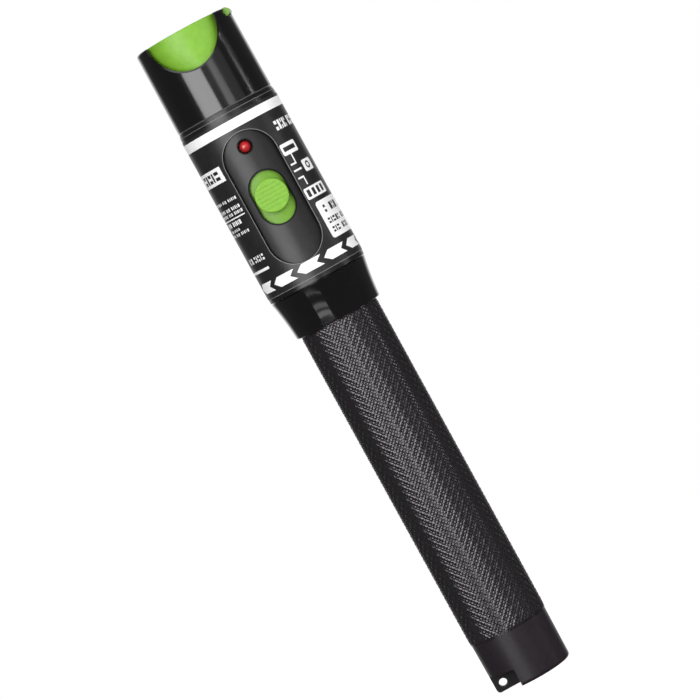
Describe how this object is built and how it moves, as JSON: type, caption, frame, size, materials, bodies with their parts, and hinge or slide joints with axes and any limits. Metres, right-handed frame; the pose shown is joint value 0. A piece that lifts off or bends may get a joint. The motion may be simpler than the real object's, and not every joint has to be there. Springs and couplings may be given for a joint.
{
  "type": "visual fault locator",
  "caption": "Pen-shaped red laser tester for optical fibre: knurled battery tube, slide switch, ferrule port and a hinged green dust cap.",
  "frame": {"origin": "centre of the tail's flat foot, on the pen's axis", "axes": "+Z along the pen from tail to nose; the switch faces -Y; the cap's hinge is on the +X side"},
  "size_m": [0.0256, 0.0256, 0.175],
  "materials": {
    "tail_black": "satin moulded plastic",
    "plated_contact": "nickel plate",
    "spring_steel": "drawn wire",
    "cell_jacket": "printed steel can, left plain",
    "grip_black": "diamond knurled, black anodised",
    "gloss_black": "gloss black",
    "seal_rubber": "smooth rubber",
    "shell_black": "satin black",
    "insert_brass": "turned brass",
    "label_film": "printed film",
    "panel_black": "fine matte",
    "button_green": "satin green",
    "lever_plastic": "moulded plastic",
    "case_steel": "pressed steel",
    "lamp_red": "clear red resin",
    "board_green": "solder mask",
    "screw_steel": "bright steel",
    "chip_black": "moulded resin",
    "carrier_plastic": "natural plastic",
    "laser_brass": "turned brass",
    "lens_glass": "polished glass",
    "port_plated": "nickel plate",
    "sleeve_ceramic": "ground ceramic",
    "cap_green": "satin green"
  },
  "bodies": {
    "barrel": {"grip_tube": "grip_black", "collar": "gloss_black", "tail_cap": "tail_black", "tail_contact": "plated_contact", "tail_spring": "spring_steel", "cell_lower": "cell_jacket", "cell_upper": "cell_jacket"},
    "seal": {"seal_ring": "seal_rubber"},
    "head": {"body_shell": "shell_black", "thread_insert": "insert_brass", "wrap_label": "label_film", "switch_panel": "panel_black", "switch_case": "case_steel", "indicator_lamp": "lamp_red", "circuit_board": "board_green", "board_screws": "screw_steel", "driver_chip": "chip_black", "carrier": "carrier_plastic", "contact_insulator": "carrier_plastic", "front_contact": "plated_contact", "ground_ring": "plated_contact", "laser_housing": "laser_brass", "laser_diode": "case_steel", "focus_lens": "lens_glass", "lens_ring": "laser_brass", "ferrule_port": "port_plated", "ceramic_sleeve": "sleeve_ceramic", "port_nut": "port_plated", "nose_shell": "gloss_black"},
    "switch": {"switch_button": "button_green", "switch_lever": "lever_plastic"},
    "cap": {"dust_cap": "cap_green", "hinge_pin": "screw_steel"}
  },
  "joints": [
    {"name": "head_turn", "type": "hinge", "parent": "barrel", "child": "seal", "pos_m": [0, 0, 0.1094], "axis": [0, 0, 1], "range_deg": [0, 1440]},
    {"name": "head_lift", "type": "slide", "parent": "seal", "child": "head", "axis": [0, 0, 1], "range_m": [0, 0.005]},
    {"name": "switch_slide", "type": "slide", "parent": "head", "child": "switch", "axis": [0, 0, 1], "range_m": [-0.00185, 0.00185]},
    {"name": "cap_hinge", "type": "hinge", "parent": "head", "child": "cap", "pos_m": [0.01148, -0.00072, 0.17395], "axis": [0.0628, 0.998, 0], "range_deg": [0, 150]}
  ],
  "couplings": [
    {"joint": "head_lift", "follows": "head_turn", "m_per_rad": 0.00019894}
  ]
}
